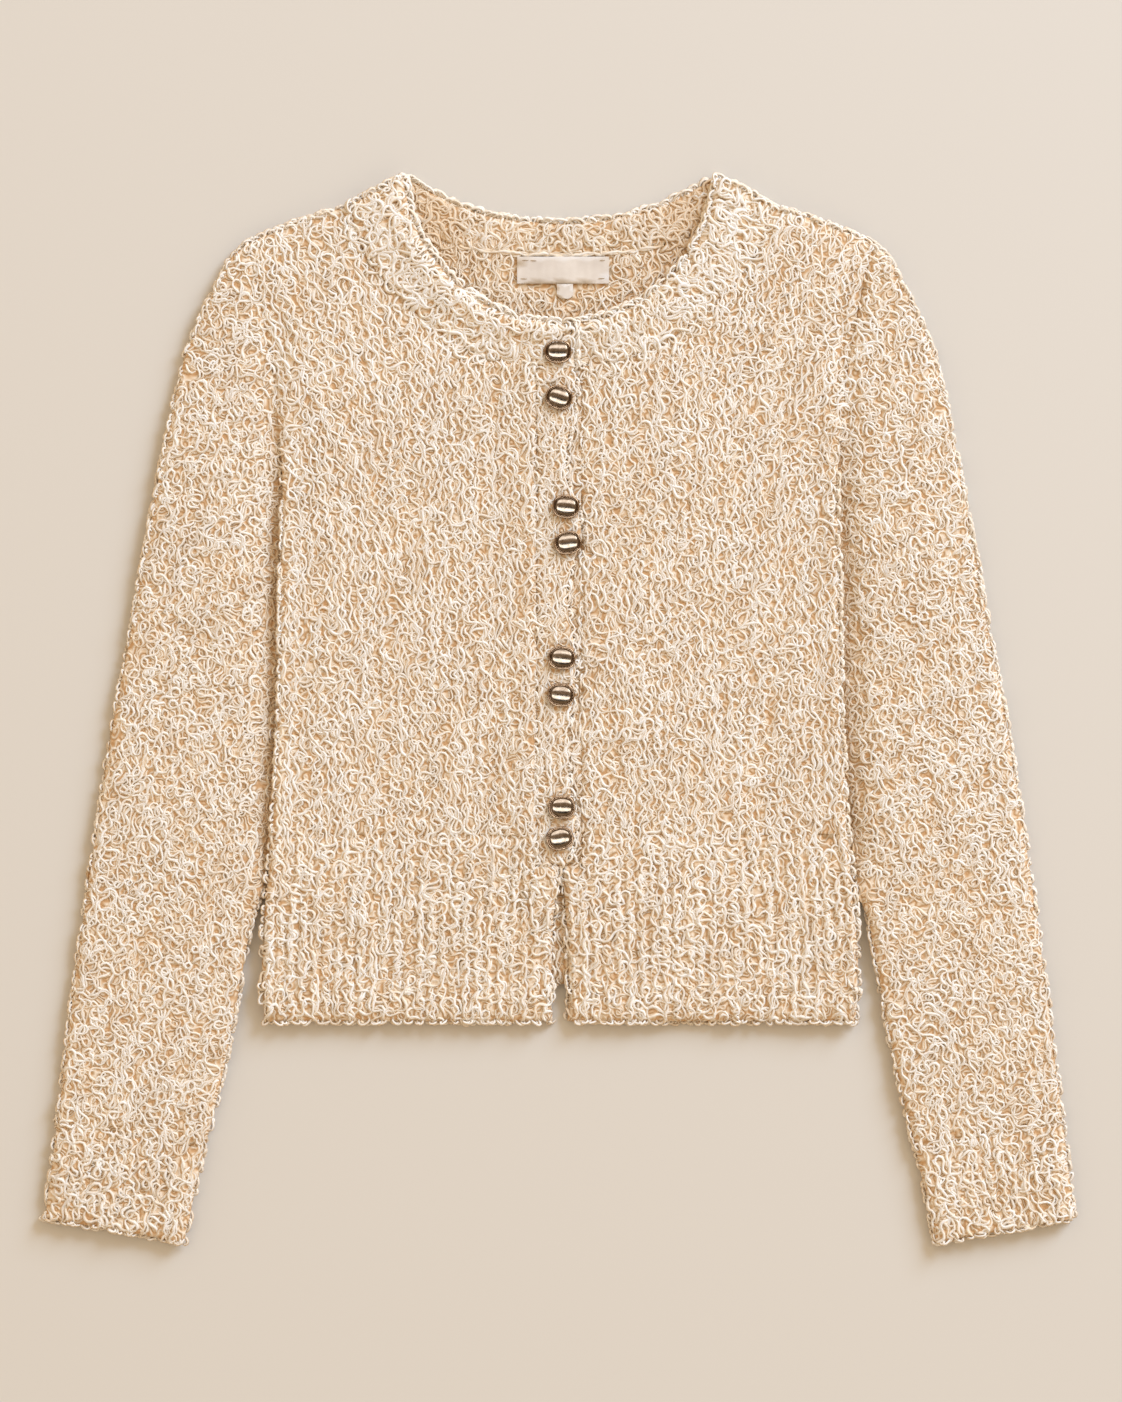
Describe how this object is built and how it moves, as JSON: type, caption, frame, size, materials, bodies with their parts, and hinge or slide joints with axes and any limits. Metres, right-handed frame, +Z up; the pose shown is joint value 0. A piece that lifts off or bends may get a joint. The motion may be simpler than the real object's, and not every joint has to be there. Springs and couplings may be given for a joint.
{
  "type": "button cardigan",
  "caption": "Cropped long-sleeved boucle knit cardigan laid flat, buttoned at the front, with round neckband, ribbed hem and cuffs, and a short front slit.",
  "frame": {"origin": "middle of the garment's box on the surface that it lies on, under the back", "axes": "+X towards the wearer's left sleeve, +Y from the hem to the neck, +Z up off the surface, towards the viewer"},
  "size_m": [0.6702, 0.693, 0.0155],
  "materials": {
    "boucle": "cream boucle knit, matt, looped yarn",
    "button_metal": "polished dark bronze",
    "label_tape": "off-white woven tape"
  },
  "bodies": {
    "root": {"back": "boucle", "front_right": "boucle", "front_left": "boucle", "hem_back": "boucle", "hem_front_right": "boucle", "hem_front_left": "boucle", "sleeve_right": "boucle", "sleeve_left": "boucle", "cuff_right": "boucle", "cuff_left": "boucle", "neckband_front_right": "boucle", "neckband_front_left": "boucle", "neckband_back": "boucle", "button_band_right": "boucle", "button_band_left": "boucle", "button_1": "button_metal", "button_2": "button_metal", "button_3": "button_metal", "button_4": "button_metal", "button_5": "button_metal", "button_6": "button_metal", "button_7": "button_metal", "button_8": "button_metal", "neck_label": "label_tape", "size_tab": "label_tape"}
  },
  "joints": []
}
